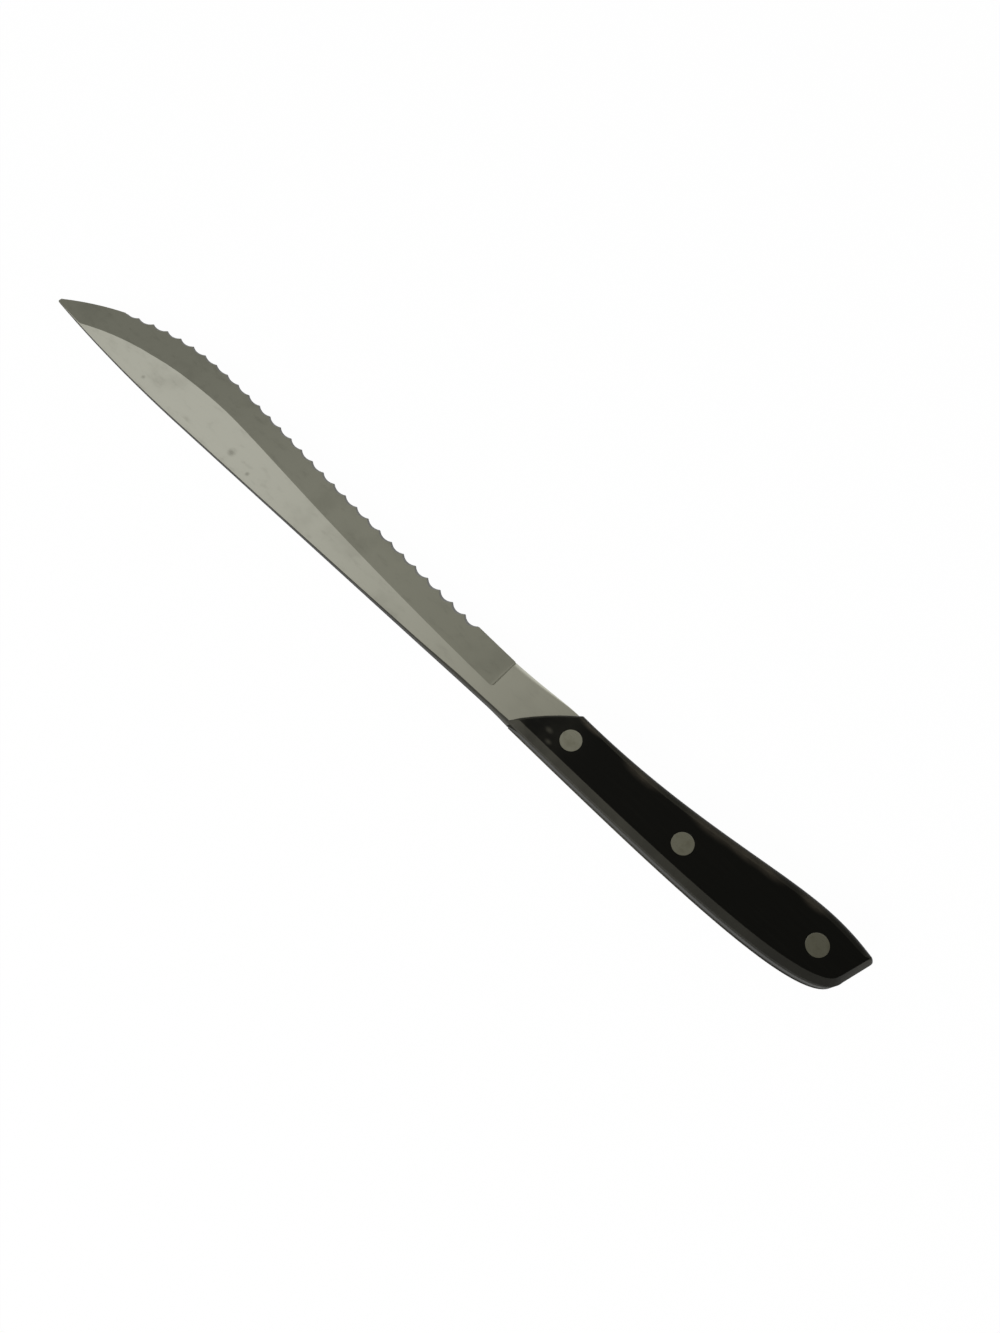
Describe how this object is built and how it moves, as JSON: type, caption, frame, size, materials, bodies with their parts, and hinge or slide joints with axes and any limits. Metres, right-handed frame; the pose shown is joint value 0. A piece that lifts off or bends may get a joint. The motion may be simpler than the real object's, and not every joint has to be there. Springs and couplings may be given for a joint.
{
  "type": "steak knife",
  "caption": "Full-tang steak knife with a recurved, scallop-serrated steel blade, a plain ricasso and black riveted handle scales.",
  "frame": {"origin": "middle of the bounding box's underside, on the surface that the left scale lies on", "axes": "+X along the spine to the point, +Y across the blade to the spine, +Z square to the blade's flats, out of the right scale"},
  "size_m": [0.231, 0.0176, 0.008],
  "materials": {
    "blade_steel": "satin, lightly stained by use",
    "scale_wood": "black-stained, worn satin",
    "rivet_steel": "ground flush, dull"
  },
  "bodies": {
    "root": {"blade": "blade_steel", "right_scale": "scale_wood", "left_scale": "scale_wood", "front_rivet_pin": "rivet_steel", "front_rivet_sleeve": "rivet_steel", "middle_rivet_pin": "rivet_steel", "middle_rivet_sleeve": "rivet_steel", "rear_rivet_pin": "rivet_steel", "rear_rivet_sleeve": "rivet_steel"}
  },
  "joints": []
}
